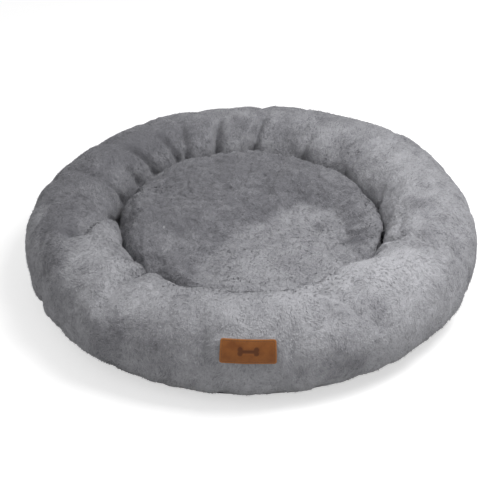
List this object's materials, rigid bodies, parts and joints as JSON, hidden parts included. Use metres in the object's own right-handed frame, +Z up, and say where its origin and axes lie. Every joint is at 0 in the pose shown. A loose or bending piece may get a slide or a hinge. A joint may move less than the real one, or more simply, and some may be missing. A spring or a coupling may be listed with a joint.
{
  "type": "pet cushion bed",
  "caption": "Round donut bed for a cat or small dog: a stuffed plush ring on a non-slip base, a loose cushion in its well, a leather tag and a filling zip.",
  "frame": {"origin": "middle of the underside, on the floor", "axes": "+Z up, the leather tag faces -Y, the zip is on the +Y side"},
  "size_m": [0.5994, 0.6012, 0.1254],
  "materials": {
    "plush": "matte",
    "lining": "matte",
    "nonslip_cloth": "matte",
    "wadding": "matte",
    "fibre": "matte",
    "seam_tape": "matte",
    "tan_leather": "satin",
    "tag_thread": "matte",
    "zip_tape": "matte",
    "zip_coil": "satin",
    "zip_metal": "satin",
    "label_satin": "satin"
  },
  "bodies": {
    "bed": {"base_panel": "nonslip_cloth", "base_wadding": "wadding", "well_floor": "lining", "outer_seam_tape": "seam_tape", "inner_seam_tape": "seam_tape", "bolster_cover": "plush", "bolster_filling": "fibre", "leather_tag": "tan_leather", "tag_stitching": "tag_thread", "zip_tape_upper": "zip_tape", "zip_tape_lower": "zip_tape", "zip_coil_upper": "zip_coil", "zip_coil_lower": "zip_coil", "zip_stop_left": "zip_metal", "zip_stop_right": "zip_metal", "care_label": "label_satin"},
    "cushion": {"cushion_bottom_cover": "lining", "cushion_top_cover": "plush", "cushion_filling": "fibre", "cushion_piping": "plush"},
    "slider": {"zip_slider": "zip_metal"},
    "pull": {"zip_pull": "zip_metal"}
  },
  "joints": [
    {"name": "cushion_lift", "type": "slide", "parent": "bed", "child": "cushion", "axis": [0, 0, 1], "range_m": [0, 0.2]},
    {"name": "zip_run", "type": "hinge", "parent": "bed", "child": "slider", "pos_m": [0, 0, 0], "axis": [0, 0, 1], "range_deg": [0, 79.5]},
    {"name": "pull_swing", "type": "hinge", "parent": "slider", "child": "pull", "pos_m": [0.18998, 0.22745, 0.02405], "axis": [-0.2769, -0.3316, -0.9019], "range_deg": [0, 150]}
  ]
}
